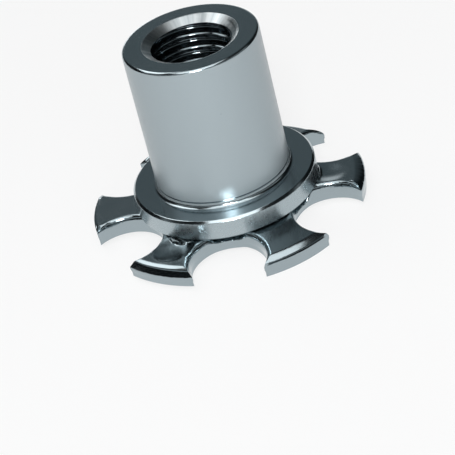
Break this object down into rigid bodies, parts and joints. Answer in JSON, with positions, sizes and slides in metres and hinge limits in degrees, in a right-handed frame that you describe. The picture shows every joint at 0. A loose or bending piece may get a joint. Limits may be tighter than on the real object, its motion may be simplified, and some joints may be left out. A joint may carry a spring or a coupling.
{
  "type": "sleeve nut",
  "caption": "Round steel sleeve nut with an inside thread, a collar at its foot and a star-shaped stamped plate riveted below it, to be screwed to from the sleeve's end.",
  "frame": {"origin": "on the sleeve's axis, level with the lowest arm tips", "axes": "+Z along the sleeve from the plate to the open end, +X along one of the struck arms"},
  "size_m": [0.0245, 0.0236, 0.0177],
  "materials": {
    "turned_steel": "bright plated, fine turning marks",
    "stamped_steel": "bright plated sheet with rolled and sheared edges"
  },
  "bodies": {
    "root": {"threaded_sleeve": "turned_steel", "star_plate": "stamped_steel"}
  },
  "joints": []
}
